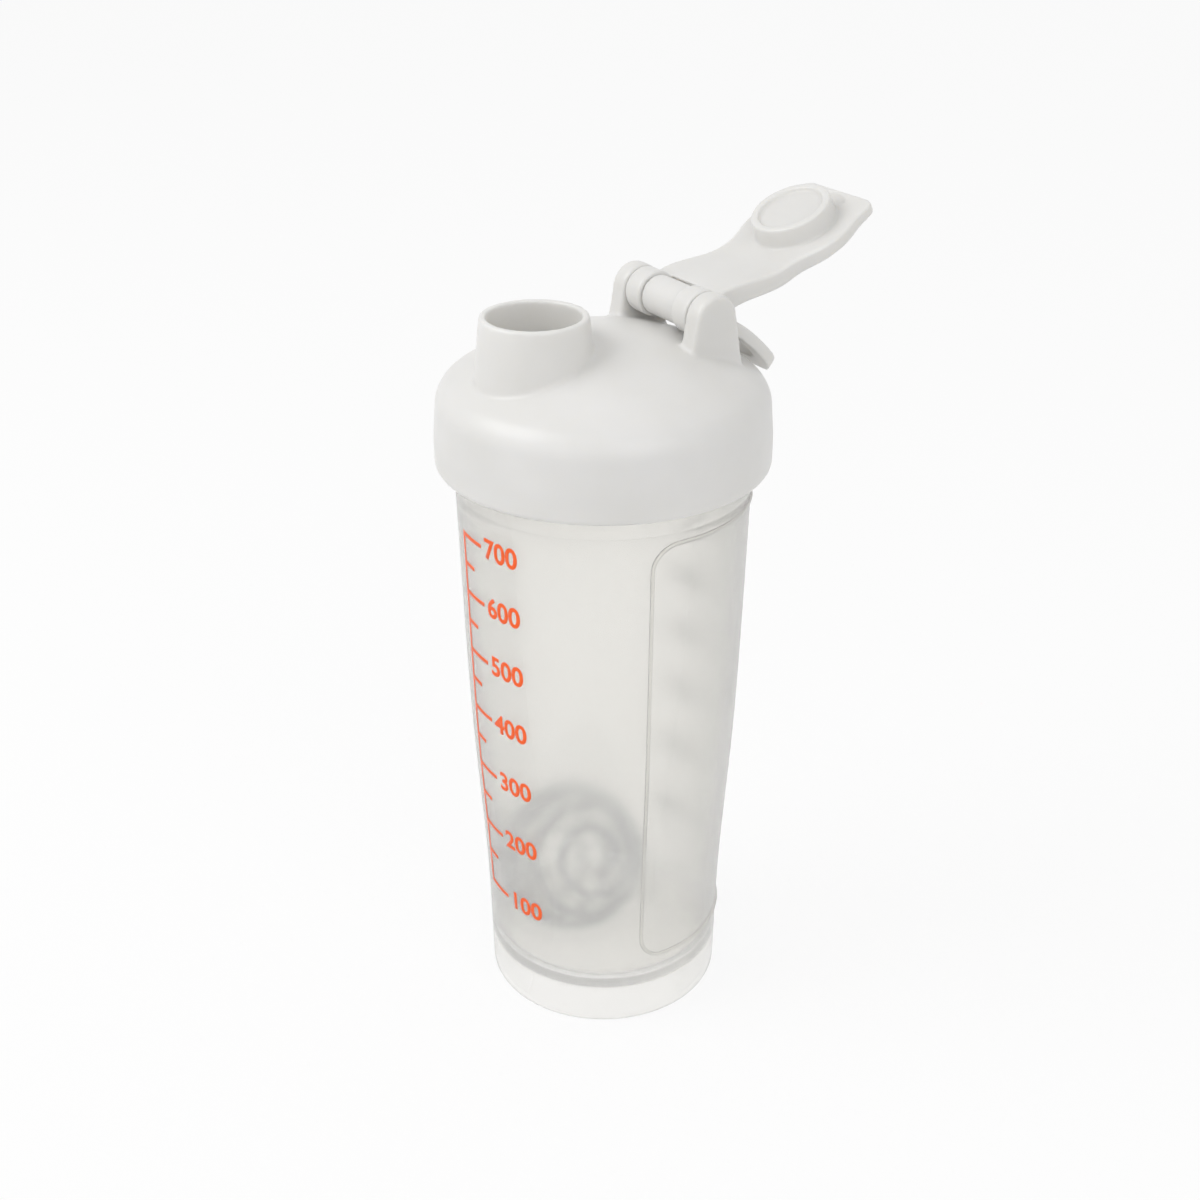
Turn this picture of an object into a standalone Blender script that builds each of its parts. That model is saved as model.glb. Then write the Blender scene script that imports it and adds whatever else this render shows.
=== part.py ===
"""Screw-lid shaker bottle: cup, lid with spout, flip cap, carry loop, hinge pin, lid seal and whisk ball.

Metres, +Z up. The bottle's axis is Z, the cup stands on z = 0, the spout is towards -Y and the hinge,
whose axis runs along X, is towards +Y. The cap is swung open and the carry loop hangs at rest.
"""

import math

import bmesh
import bpy
from mathutils import Matrix, Vector

# ---------------------------------------------------------------- clearances
GAP = 0.0003                    # between faces that rest on each other
RUN_GAP = 0.00035               # round the hinge pin, and beside the parts that turn on it
STEPS = 48                      # facets in a full turn of the big round pieces
PIN_STEPS = 16                  # facets round the pin and its holes

# ---------------------------------------------------------------- cup
CUP_HEIGHT = 0.2004             # table to rim
CUP_WALL = 0.0018
FOOT_RADIUS = 0.0369            # outside, at the table
WAIST_RADIUS, WAIST_HEIGHT = 0.0378, 0.040
BELLY_RADIUS, BELLY_HEIGHT = 0.0412, 0.098
NECK_RADIUS = 0.0434            # outside, under the lid
NECK_WALL = 0.0020
COLLAR_BEAD = 0.0006            # the low bead just under the lid, out from the neck
COLLAR_DROP, COLLAR_WIDTH = 0.0268, 0.0049  # rim down to its lower edge, and its height
FLOOR_HEIGHT = 0.0137           # inside of the floor
FLOOR_THICKNESS = 0.0020
FLOOR_CORNER = 0.0070           # inside radius between the floor and the wall
FOOT_RING_WIDTH = 0.0022
FOOT_EDGE = 0.0005

# ---------------------------------------------------------------- thread
THREAD_PITCH = 0.0050
THREAD_TURNS = 1.5
THREAD_DROP = 0.0149            # rim down to the middle of the cup's ridge where it begins
RIDGE_ROOT, RIDGE_CREST = 0.0020, 0.0012   # width of a ridge along the axis
CUP_RIDGE_HEIGHT = 0.0020
RIDGE_SINK = 0.0005             # how far a ridge reaches into the wall that carries it

# ---------------------------------------------------------------- lid
LID_OVERHANG = 0.0056           # from the neck to the outside of the side, where it is widest
SHOULDER_OVERHANG = 0.0049      # the same where the side meets the shoulder's round
LID_WALL = 0.0022
LID_OVERLAP = 0.0204            # rim down to the lid's lower edge
LID_BOTTOM_EDGE = 0.0012
SHOULDER_ROUND = 0.0095
SHOULDER_DROP = 0.0029374       # rim down to the centre of the shoulder's round
DOME_RADIUS = 0.080             # sphere that the top belongs to
LIP_THICKNESS, LIP_DEPTH = 0.0014, 0.0080  # plug ring inside the cup's mouth

# ---------------------------------------------------------------- seal
SEAL_THICKNESS = 0.0020
SEAL_WIDTH = 0.0022

# ---------------------------------------------------------------- spout
SPOUT_RISE = 0.0084             # top of the dome up to the spout's mouth
SPOUT_INSET = 0.0264            # from the lid's widest side in to the spout's middle
SPOUT_RADIUS = 0.0152           # outside, at the top
SPOUT_WALL = 0.0021
SPOUT_TAPER, BORE_TAPER = math.radians(6), math.radians(3)
SPOUT_SINK, BORE_SINK = 0.0166, 0.0226     # both cones begin this far under the dome's top

# ---------------------------------------------------------------- hinge
HINGE_INSET = 0.0250            # from the lid's widest side in to the hinge axis
HINGE_RISE = 0.0044             # top of the dome up to the hinge axis
EAR_RADIUS = 0.0069
EAR_THICKNESS = 0.0062
EAR_FLARE = math.radians(10)    # how far the ear's sides lean out from upright
KNUCKLE_RADIUS = 0.0067
KNUCKLE_THICKNESS = 0.0068
BARREL_RADIUS = 0.0058
BARREL_HALF = 0.0076            # half the length of the loop's barrel
BARREL_ROOM = 0.0010            # free room round the barrel, in the root of the cap
PIN_RADIUS = 0.0020
PIN_DEPTH = 0.0036              # how far the pin enters each ear

# ---------------------------------------------------------------- flip cap
CAP_OPEN_ANGLE = math.radians(155)
CAP_WAIST_HALF = 0.0146
CAP_HEAD_RADIUS = 0.0184
CAP_TIP_HALF = 0.0156
CAP_TIP_CORNER = 0.0030
CAP_TIP_REACH = 0.0030          # how far the thumb tip passes the spout's outside
CAP_TIP_THICKNESS = 0.0036
CAP_ROOT_THICKNESS = 0.0078
CAP_ROOT_LOW = -0.0022          # underside of the arm at its root, over the hinge axis
NECK_RECESS_RADIUS = 0.0090     # hollow in the arm's root that the loop's neck swings up into
NECK_RECESS_REACH, NECK_RECESS_FLOOR = 0.0078, 0.0008
PLUG_GAP = 0.0005               # plug to spout bore, all round
PLUG_DEPTH = 0.0060

# ---------------------------------------------------------------- carry loop
LOOP_ANGLE = math.radians(38)   # of the line from the hinge to the loop's end, below the horizontal
LOOP_LENGTH = 0.0365            # hinge axis to the far edge
LOOP_BEND = math.radians(32)    # how far the band curves down over its length
LOOP_HALF_WIDTH = 0.0140
LOOP_BAND = 0.0052              # width of the loop's band round its hole
LOOP_THICKNESS = 0.0036
LOOP_NECK = 0.0118              # hinge axis to where the loop widens
LOOP_CORNER, LOOP_HOLE_CORNER = 0.0065, 0.0035

# ---------------------------------------------------------------- whisk ball
BALL_RADIUS = 0.0240            # outside
WIRE_RADIUS = 0.00125
BALL_TURNS = 7
BALL_EYE = math.radians(13)     # polar angle at which the wire begins and ends
BALL_OFFSET = (-0.0062, -0.0085)
BALL_POLE = (0.83, -0.10, 0.55)
BALL_POINTS_PER_TURN = 18

# ---------------------------------------------------------------- worked out from the above
COLLAR_RADIUS = NECK_RADIUS + COLLAR_BEAD
COLLAR_BOTTOM = CUP_HEIGHT - COLLAR_DROP
COLLAR_TOP = COLLAR_BOTTOM + COLLAR_WIDTH
THREAD_START = CUP_HEIGHT - THREAD_DROP
LID_RADIUS = NECK_RADIUS + LID_OVERHANG
LID_SHOULDER_RADIUS = NECK_RADIUS + SHOULDER_OVERHANG
SPOUT_OFFSET = LID_RADIUS - SPOUT_INSET      # from the bottle's axis, towards -Y
HINGE_OFFSET = LID_RADIUS - HINGE_INSET      # from the bottle's axis, towards +Y
LID_BOTTOM = CUP_HEIGHT - LID_OVERLAP
SHOULDER_CENTRE = LID_SHOULDER_RADIUS - SHOULDER_ROUND
SHOULDER_HEIGHT = CUP_HEIGHT - SHOULDER_DROP
DOME_CENTRE = SHOULDER_HEIGHT - math.sqrt((DOME_RADIUS - SHOULDER_ROUND) ** 2 - SHOULDER_CENTRE**2)
DOME_TOP = DOME_CENTRE + DOME_RADIUS
SPOUT_TOP = DOME_TOP + SPOUT_RISE
SPOUT_ROOT, BORE_ROOT = DOME_TOP - SPOUT_SINK, DOME_TOP - BORE_SINK
HINGE_HEIGHT = DOME_TOP + HINGE_RISE
LIP_RADIUS = NECK_RADIUS - NECK_WALL - 0.0005
SEAL_INNER = LIP_RADIUS + 0.0004
SEAL_BOTTOM = CUP_HEIGHT + GAP
SEAT_HEIGHT = SEAL_BOTTOM + SEAL_THICKNESS + GAP
LID_INNER = LID_SHOULDER_RADIUS - LID_WALL
BORE_RADIUS = SPOUT_RADIUS - SPOUT_WALL
PLUG_RADIUS = BORE_RADIUS - PLUG_GAP
KNUCKLE_INNER = BARREL_HALF + RUN_GAP + 0.0001
KNUCKLE_OUTER = KNUCKLE_INNER + KNUCKLE_THICKNESS
EAR_INNER = KNUCKLE_OUTER + RUN_GAP
PIN_HOLE_RADIUS = PIN_RADIUS + RUN_GAP
HINGE = Vector((0, HINGE_OFFSET, HINGE_HEIGHT))
PLUG_REACH = HINGE_OFFSET + SPOUT_OFFSET
HEAD_HEIGHT = SPOUT_TOP + GAP - HINGE_HEIGHT
CAP_LENGTH = PLUG_REACH + SPOUT_RADIUS + CAP_TIP_REACH
BALL_CENTRE = Vector((*BALL_OFFSET, FLOOR_HEIGHT + GAP + BALL_RADIUS))


# ================================================================ shared making
def clear_scene():
    for thing in list(bpy.data.objects):
        bpy.data.objects.remove(thing, do_unlink=True)


def plastic(name, colour, roughness, metallic=0.0, alpha=1.0):
    made = bpy.data.materials.new(name)
    made.use_nodes = True
    shader = made.node_tree.nodes["Principled BSDF"]
    shader.inputs["Base Color"].default_value = (*colour, 1)
    shader.inputs["Roughness"].default_value = roughness
    shader.inputs["Metallic"].default_value = metallic
    shader.inputs["Alpha"].default_value = alpha
    return made


def object_from(name, bm, material=None):
    """An object at the origin whose mesh is bm, with its faces pointing out."""
    bmesh.ops.remove_doubles(bm, verts=bm.verts, dist=1e-6)
    bmesh.ops.recalc_face_normals(bm, faces=bm.faces)
    mesh = bpy.data.meshes.new(name)
    bm.to_mesh(mesh)
    bm.free()
    mesh.shade_smooth()
    mesh.set_sharp_from_angle(angle=math.radians(35))
    made = bpy.data.objects.new(name, mesh)
    bpy.context.scene.collection.objects.link(made)
    if material:
        mesh.materials.append(material)
    return made


def tool(name, bm):
    """A shape that is only joined to or cut from another."""
    made = object_from(name, bm)
    made.hide_render = True
    made.display_type = "WIRE"
    return made


def combine(target, other, operation):
    step = target.modifiers.new(other.name, "BOOLEAN")
    step.operation = operation
    step.solver = "EXACT"
    step.object = other


def arc(centre, radius, start, end, count):
    """Points of an arc in a profile's plane, angles in degrees from its first axis."""
    angles = [math.radians(start + (end - start) * i / count) for i in range(count + 1)]
    return [(centre[0] + radius * math.cos(a), centre[1] + radius * math.sin(a)) for a in angles]


def smooth_through(points, count):
    """A smooth line through (height, value) points, count pieces between each two of them."""
    slopes = []
    for i in range(len(points)):
        before, after = points[max(i - 1, 0)], points[min(i + 1, len(points) - 1)]
        slopes.append((after[1] - before[1]) / (after[0] - before[0]))
    line = [points[0]]
    for (z0, r0), (z1, r1), m0, m1 in zip(points, points[1:], slopes, slopes[1:]):
        span = z1 - z0
        for i in range(1, count + 1):
            t = i / count
            value = (2 * t**3 - 3 * t**2 + 1) * r0 + (3 * t**2 - 2 * t**3) * r1
            value += ((t**3 - 2 * t**2 + t) * m0 + (t**3 - t**2) * m1) * span
            line.append((z0 + t * span, value))
    return line


def turned(profile, steps=STEPS):
    """The solid that a (radius, height) profile sweeps round Z. It starts and ends on the axis or closes on itself."""
    bm = bmesh.new()
    verts = [bm.verts.new((r, 0, z)) for r, z in profile]
    pairs = list(zip(verts, verts[1:]))
    if profile[0][0] > 0:
        pairs.append((verts[-1], verts[0]))
    edges = [bm.edges.new(pair) for pair in pairs]
    bmesh.ops.spin(bm, geom=verts + edges, cent=(0, 0, 0), axis=(0, 0, 1), angle=math.tau,
                   steps=steps, use_merge=True)
    bmesh.ops.remove_doubles(bm, verts=bm.verts, dist=1e-6)
    return bm


def rod(radius, x_from, x_to, steps=PIN_STEPS, end_radius=None):
    """A round bar along X."""
    bm = bmesh.new()
    bmesh.ops.create_cone(bm, cap_ends=True, segments=steps, radius1=radius, depth=x_to - x_from,
                          radius2=radius if end_radius is None else end_radius)
    bmesh.ops.rotate(bm, verts=bm.verts, cent=(0, 0, 0), matrix=Matrix.Rotation(math.pi / 2, 3, "Y"))
    bmesh.ops.translate(bm, verts=bm.verts, vec=((x_from + x_to) / 2, 0, 0))
    return bm


def cone(radius_low, radius_high, z_low, z_high, y=0.0, steps=STEPS):
    bm = bmesh.new()
    bmesh.ops.create_cone(bm, cap_ends=True, segments=steps, radius1=radius_low,
                          radius2=radius_high, depth=z_high - z_low)
    bmesh.ops.translate(bm, verts=bm.verts, vec=(0, y, (z_low + z_high) / 2))
    return bm


def plate(outline, low, high, flat_axis):
    """An outline pushed from low to high along X or Z; its points are (y, z) for X and (x, y) for Z."""
    bm = bmesh.new()
    if flat_axis == "X":
        verts = [bm.verts.new((low, a, b)) for a, b in outline]
        push = Vector((high - low, 0, 0))
    else:
        verts = [bm.verts.new((a, b, low)) for a, b in outline]
        push = Vector((0, 0, high - low))
    face = bm.faces.new(verts)
    grown = bmesh.ops.extrude_face_region(bm, geom=[face])
    moved = [item for item in grown["geom"] if isinstance(item, bmesh.types.BMVert)]
    bmesh.ops.translate(bm, verts=moved, vec=push)
    return bm


def lofted(rings):
    """A solid through rings of points, each with the same count, closed by a face at both ends."""
    bm = bmesh.new()
    corners = [[bm.verts.new(point) for point in ring] for ring in rings]
    loops = [[bm.edges.new((ring[i - 1], ring[i])) for i in range(len(ring))] for ring in corners]
    for first, second in zip(loops, loops[1:]):
        bmesh.ops.bridge_loops(bm, edges=first + second)
    for ring in (corners[0], corners[-1]):
        bm.faces.new(ring)
    return bm


def ridge(wall_radius, outwards, height, start_height):
    """One thread ridge: a tapered section carried up the helix, its root sunk into the wall."""
    side = 1 if outwards else -1
    root = wall_radius - side * RIDGE_SINK
    crest = wall_radius + side * height
    count = round(STEPS * THREAD_TURNS)
    rings = []
    for i in range(count + 1):
        turn = THREAD_TURNS * i / count
        angle, middle = math.tau * turn, start_height + THREAD_PITCH * turn
        section = [(root, -RIDGE_ROOT / 2), (crest, -RIDGE_CREST / 2),
                   (crest, RIDGE_CREST / 2), (root, RIDGE_ROOT / 2)]
        rings.append([(r * math.cos(angle), r * math.sin(angle), middle + dz) for r, dz in section])
    return lofted(rings)


# ================================================================ cup
def cup_outside():
    """(radius, height) up the outside, from the foot to the collar bead."""
    stations = [(0, FOOT_RADIUS), (WAIST_HEIGHT, WAIST_RADIUS), (BELLY_HEIGHT, BELLY_RADIUS),
                (COLLAR_BOTTOM, NECK_RADIUS)]
    return [(r, z) for z, r in smooth_through(stations, 4)]


def make_cup(material):
    outside = cup_outside()
    underside = FLOOR_HEIGHT - FLOOR_THICKNESS
    ring_inner = FOOT_RADIUS - FOOT_RING_WIDTH
    inside_low = WAIST_RADIUS - CUP_WALL - 0.0004
    profile = [(0, underside), (ring_inner - FLOOR_THICKNESS, underside),
               (ring_inner, underside - FLOOR_THICKNESS), (ring_inner, 0), (FOOT_RADIUS - FOOT_EDGE, 0)]
    profile += [(FOOT_RADIUS, FOOT_EDGE)] + outside[1:]
    profile += [(COLLAR_RADIUS, COLLAR_BOTTOM + 0.0006), (COLLAR_RADIUS, COLLAR_TOP),
                (NECK_RADIUS, COLLAR_TOP + 0.0007)]
    profile += [(NECK_RADIUS, CUP_HEIGHT - 0.0004), (NECK_RADIUS - 0.0004, CUP_HEIGHT)]
    bore = NECK_RADIUS - NECK_WALL
    profile += [(bore + 0.0004, CUP_HEIGHT), (bore, CUP_HEIGHT - 0.0004), (bore, COLLAR_TOP)]
    profile += [(r - CUP_WALL, z) for r, z in reversed(outside) if z > WAIST_HEIGHT / 2]
    corner = (inside_low - FLOOR_CORNER, FLOOR_HEIGHT + FLOOR_CORNER)
    profile += arc(corner, FLOOR_CORNER, 0, -90, 4)
    profile += [(0, FLOOR_HEIGHT)]
    cup = object_from("cup", turned(profile), material)
    combine(cup, tool("cup_thread", ridge(NECK_RADIUS, True, CUP_RIDGE_HEIGHT, THREAD_START)), "UNION")
    return cup


# ================================================================ lid and its seal
def dome_height(radius, inset=0.0):
    """Height of the dome's surface, or of one inset below it, at a distance from the axis."""
    return DOME_CENTRE + math.sqrt((DOME_RADIUS - inset) ** 2 - radius**2)


def lid_outside():
    """(radius, height) from the top of the dome, round the shoulder and down the side to the lower edge."""
    tilt = math.atan2(SHOULDER_CENTRE, SHOULDER_HEIGHT - DOME_CENTRE)
    points = []
    for i in range(7):
        radius = DOME_RADIUS * math.sin(tilt) * i / 6
        points.append((radius, dome_height(radius)))
    points += arc((SHOULDER_CENTRE, SHOULDER_HEIGHT), SHOULDER_ROUND, 90 - math.degrees(tilt), 0, 5)[1:]
    middle = (LID_BOTTOM + SHOULDER_HEIGHT) / 2
    points += [(LID_RADIUS, middle), (LID_RADIUS, LID_BOTTOM + LID_BOTTOM_EDGE)]
    return points + [(LID_RADIUS - LID_BOTTOM_EDGE, LID_BOTTOM), (0, LID_BOTTOM)]


def lid_underside():
    """The room under the lid: the skirt's inside, the seal's seat, the plug ring and the dome's inside."""
    low, lip_end = LID_BOTTOM - 0.001, CUP_HEIGHT - LIP_DEPTH
    lip_inner = LIP_RADIUS - LIP_THICKNESS
    seat_outer = SEAL_INNER + SEAL_WIDTH + GAP
    points = [(0, low), (LID_INNER, low)]
    points += arc((SHOULDER_CENTRE, SHOULDER_HEIGHT - 0.0005), SHOULDER_ROUND - LID_WALL, 0, 40, 2)
    points += [(seat_outer, SEAT_HEIGHT), (LIP_RADIUS, SEAT_HEIGHT), (LIP_RADIUS, lip_end)]
    points += [(lip_inner, lip_end)]
    for i in range(6, -1, -1):
        radius = lip_inner * i / 6
        points.append((radius, dome_height(radius, LID_WALL)))
    return points


def ear_outline():
    """(y, z) of an ear: round over the hinge axis, its sides leaning out down to the dome."""
    lean = math.degrees(EAR_FLARE)
    top = arc((HINGE_OFFSET, HINGE_HEIGHT), EAR_RADIUS, lean, 180 - lean, 10)
    foot = dome_height(math.hypot(EAR_INNER, HINGE_OFFSET)) - LID_WALL / 2 - 0.004
    drop = top[0][1] - foot
    spread = drop * math.tan(EAR_FLARE)
    return top + [(top[-1][0] - spread, foot), (top[0][0] + spread, foot)]


def make_lid(material):
    lid = object_from("lid", turned(lid_outside()), material)
    spout_low = SPOUT_RADIUS + (SPOUT_TOP - SPOUT_ROOT) * math.tan(SPOUT_TAPER)
    combine(lid, tool("lid_spout", cone(spout_low, SPOUT_RADIUS, SPOUT_ROOT, SPOUT_TOP,
                                        -SPOUT_OFFSET)), "UNION")
    for side, label in ((1, "right"), (-1, "left")):
        near, far = sorted((side * EAR_INNER, side * (EAR_INNER + EAR_THICKNESS)))
        combine(lid, tool(f"lid_ear_{label}", plate(ear_outline(), near, far, "X")), "UNION")
    combine(lid, tool("lid_underside", turned(lid_underside())), "DIFFERENCE")
    bore_low = BORE_RADIUS + (SPOUT_TOP - BORE_ROOT) * math.tan(BORE_TAPER)
    combine(lid, tool("lid_bore", cone(bore_low, BORE_RADIUS, BORE_ROOT, SPOUT_TOP + 0.001,
                                       -SPOUT_OFFSET)), "DIFFERENCE")
    for side, label in ((1, "right"), (-1, "left")):
        near, far = sorted((side * (EAR_INNER - 0.001), side * (EAR_INNER + PIN_DEPTH)))
        hole = rod(PIN_HOLE_RADIUS, near, far)
        bmesh.ops.translate(hole, verts=hole.verts, vec=HINGE)
        combine(lid, tool(f"lid_pin_hole_{label}", hole), "DIFFERENCE")
    ridge_height = LID_INNER - NECK_RADIUS - 0.0007
    thread = ridge(LID_INNER, False, ridge_height, THREAD_START - THREAD_PITCH / 2)
    combine(lid, tool("lid_thread", thread), "UNION")
    return lid


def make_seal(material):
    outer = SEAL_INNER + SEAL_WIDTH
    top = SEAL_BOTTOM + SEAL_THICKNESS
    profile = [(SEAL_INNER, SEAL_BOTTOM), (outer, SEAL_BOTTOM), (outer, top), (SEAL_INNER, top)]
    return object_from("lid_seal", turned(profile), material)


# ================================================================ hinge: pin, flip cap, carry loop
def on_hinge(name, angle):
    """An empty on the hinge axis, turned about it. What it carries is drawn reaching towards -Y."""
    pivot = bpy.data.objects.new(name, None)
    bpy.context.scene.collection.objects.link(pivot)
    pivot.location = HINGE
    pivot.rotation_euler = (angle, 0, 0)
    return pivot


def make_pin(material):
    half = EAR_INNER + PIN_DEPTH - GAP
    pin = object_from("hinge_pin", rod(PIN_RADIUS, -half, half), material)
    pin.location = HINGE
    return pin


def cap_half_width(reach):
    """Half the cap's width at a distance from the hinge: knuckles, waist, round head, thumb tip."""
    root, waist_at = KNUCKLE_RADIUS + 0.002, 0.024
    if reach <= root:
        return KNUCKLE_OUTER
    if reach <= waist_at:
        t = (reach - root) / (waist_at - root)
        return KNUCKLE_OUTER + (CAP_WAIST_HALF - KNUCKLE_OUTER) * math.sin(t * math.pi / 2)
    head = CAP_HEAD_RADIUS**2 - (reach - PLUG_REACH) ** 2
    round_half = math.sqrt(head) if head > 0 else 0
    if reach <= PLUG_REACH:
        return max(CAP_WAIST_HALF, round_half)
    edge = CAP_LENGTH - reach
    tip = CAP_TIP_HALF
    if edge < CAP_TIP_CORNER:
        tip -= CAP_TIP_CORNER - math.sqrt(max(CAP_TIP_CORNER**2 - (CAP_TIP_CORNER - edge) ** 2, 0))
    return max(tip, round_half)


def cap_heights(reach):
    """(underside, top) of the arm over the hinge axis at a distance from it, with the cap closed."""
    root = KNUCKLE_RADIUS - 0.001
    flat_from = PLUG_REACH - SPOUT_RADIUS - 0.001
    t = min(max((reach - root) / (flat_from - root), 0), 1)
    ease = t * t * (3 - 2 * t)
    under = CAP_ROOT_LOW + (HEAD_HEIGHT - CAP_ROOT_LOW) * ease
    along = min(max((reach - root) / (CAP_LENGTH - root), 0), 1)
    thick = CAP_ROOT_THICKNESS + (CAP_TIP_THICKNESS - CAP_ROOT_THICKNESS) * along**0.6
    return under, under + thick


def cap_arm():
    """The arm and head as rounded sections along the cap, reaching towards -Y."""
    root = KNUCKLE_RADIUS - 0.001
    reaches = [root, KNUCKLE_RADIUS + 0.002, 0.013, 0.018, 0.024, 0.029, 0.034, 0.038, 0.043]
    reaches += [PLUG_REACH, PLUG_REACH + 0.005, PLUG_REACH + 0.009, PLUG_REACH + 0.0125]
    reaches += [CAP_LENGTH - 0.003, CAP_LENGTH - 0.0015, CAP_LENGTH - 0.0005, CAP_LENGTH]
    rings = []
    for reach in reaches:
        half = cap_half_width(reach)
        under, top = cap_heights(reach)
        soft = min(0.0010, (top - under) * 0.3)
        rings.append([(-half, -reach, under), (half, -reach, under), (half, -reach, top - soft),
                      (half - soft, -reach, top), (-half + soft, -reach, top), (-half, -reach, top - soft)])
    return lofted(rings)


def make_cap(material):
    pivot = on_hinge("cap_pivot", -CAP_OPEN_ANGLE)
    cap = object_from("flip_cap", cap_arm(), material)
    room_half = KNUCKLE_INNER + 0.0005
    room = rod(BARREL_RADIUS + BARREL_ROOM, -room_half, room_half, 24)
    recess = rod(NECK_RECESS_RADIUS, -room_half - 0.0004, room_half + 0.0004, 32)
    bmesh.ops.translate(recess, verts=recess.verts,
                        vec=(0, -NECK_RECESS_REACH, NECK_RECESS_FLOOR + NECK_RECESS_RADIUS))
    pieces = [("cap_barrel_room", room, "DIFFERENCE"), ("cap_neck_recess", recess, "DIFFERENCE")]
    for side, label in ((1, "right"), (-1, "left")):
        near, far = sorted((side * KNUCKLE_INNER, side * KNUCKLE_OUTER))
        pieces.append((f"cap_knuckle_{label}", rod(KNUCKLE_RADIUS, near, far, 24), "UNION"))
    plug = cone(PLUG_RADIUS - 0.0006, PLUG_RADIUS, HEAD_HEIGHT - PLUG_DEPTH, HEAD_HEIGHT + 0.001, -PLUG_REACH, 32)
    pieces.append(("cap_plug", plug, "UNION"))
    hole = rod(PIN_HOLE_RADIUS, -KNUCKLE_OUTER - 0.001, KNUCKLE_OUTER + 0.001)
    pieces.append(("cap_pin_hole", hole, "DIFFERENCE"))
    for name, bm, operation in pieces:
        other = tool(name, bm)
        other.parent = pivot
        combine(cap, other, operation)
    cap.parent = pivot
    return cap


def loop_outline(half, start, end, corner, neck=None):
    """(x, y) of a rectangle with round corners, from start to end along -Y, with a neck reaching the hinge axis."""
    points = []
    for cx, cy, first in ((half - corner, -start - corner, 90), (-half + corner, -start - corner, 180),
                          (-half + corner, -end + corner, 270), (half - corner, -end + corner, 360)):
        points += arc((cx, cy), corner, first - 90, first, 4)
        if neck and first == 90:
            points += [(neck, -start), (neck, 0.001), (-neck, 0.001), (-neck, -start)]
    return points


def loop_side():
    """(y, z) of the band seen from the side: a strip of even thickness, curved over its length.

    The loop is drawn upside down, reaching towards -Y, and its pivot turns it over.
    """
    bend_radius = LOOP_LENGTH / (2 * math.sin(LOOP_BEND / 2))
    upper, lower = [], []
    for i in range(9):
        turn = LOOP_BEND * (0.5 - i / 8)
        along = bend_radius * (math.sin(LOOP_BEND / 2) - math.sin(turn))
        rise = bend_radius * (math.cos(LOOP_BEND / 2) - math.cos(turn))
        out = Vector((-math.sin(turn), math.cos(turn))) * LOOP_THICKNESS / 2
        upper.append((-along + out.x, rise + out.y))
        lower.append((-along - out.x, rise - out.y))
    return upper + lower[::-1]


def make_loop(material):
    pivot = on_hinge("loop_pivot", math.pi - LOOP_ANGLE)
    tall = LOOP_LENGTH / 2
    loop = object_from("carry_loop", plate(loop_side(), -LOOP_HALF_WIDTH, LOOP_HALF_WIDTH, "X"), material)
    outer = loop_outline(LOOP_HALF_WIDTH, LOOP_NECK, LOOP_LENGTH, LOOP_CORNER, BARREL_HALF - 0.0004)
    inner = loop_outline(LOOP_HALF_WIDTH - LOOP_BAND, LOOP_NECK + LOOP_BAND, LOOP_LENGTH - LOOP_BAND,
                         LOOP_HOLE_CORNER)
    pieces = [("loop_plan", plate(outer, -tall, tall, "Z"), "INTERSECT"),
              ("loop_hole", plate(inner, -tall, tall, "Z"), "DIFFERENCE"),
              ("loop_barrel", rod(BARREL_RADIUS, -BARREL_HALF, BARREL_HALF, 24), "UNION"),
              ("loop_pin_hole", rod(PIN_HOLE_RADIUS, -BARREL_HALF - 0.001, BARREL_HALF + 0.001), "DIFFERENCE")]
    for name, bm, operation in pieces:
        other = tool(name, bm)
        other.parent = pivot
        combine(loop, other, operation)
    loop.parent = pivot
    return loop


# ================================================================ whisk ball
def ball_path():
    """Points of one wire wound pole to pole on a sphere, evenly spaced turns."""
    turn_axis = Vector(BALL_POLE).normalized()
    upright = Vector((0, 0, 1)).rotation_difference(turn_axis)
    radius = BALL_RADIUS - WIRE_RADIUS
    count = BALL_TURNS * BALL_POINTS_PER_TURN
    points = []
    for i in range(count + 1):
        polar = BALL_EYE + (math.pi - 2 * BALL_EYE) * i / count
        round_angle = math.tau * BALL_TURNS * i / count
        point = Vector((math.sin(polar) * math.cos(round_angle), math.sin(polar) * math.sin(round_angle),
                        math.cos(polar)))
        points.append(BALL_CENTRE + upright @ point * radius)
    return points


def make_ball(material):
    wire = bpy.data.curves.new("whisk_ball", "CURVE")
    wire.dimensions = "3D"
    wire.bevel_depth = WIRE_RADIUS
    wire.bevel_resolution = 1
    wire.use_fill_caps = True
    points = ball_path()
    line = wire.splines.new("POLY")
    line.points.add(len(points) - 1)
    for slot, point in zip(line.points, points):
        slot.co = (*point, 1)
    ball = bpy.data.objects.new("whisk_ball", wire)
    bpy.context.scene.collection.objects.link(ball)
    wire.materials.append(material)
    return ball


def main():
    clear_scene()
    clear_pp = plastic("clear_polypropylene", (0.86, 0.86, 0.84), 0.35, alpha=0.45)
    milky_pp = plastic("milky_polypropylene", (0.80, 0.80, 0.78), 0.40)
    silicone = plastic("silicone", (0.75, 0.76, 0.77), 0.60)
    steel = plastic("stainless_steel", (0.60, 0.61, 0.63), 0.25, metallic=1.0)
    make_cup(clear_pp)
    make_lid(milky_pp)
    make_seal(silicone)
    make_pin(steel)
    make_cap(milky_pp)
    make_loop(milky_pp)
    make_ball(steel)


main()
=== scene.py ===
import math

import bmesh
import bpy
from mathutils import Matrix, Vector


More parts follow.
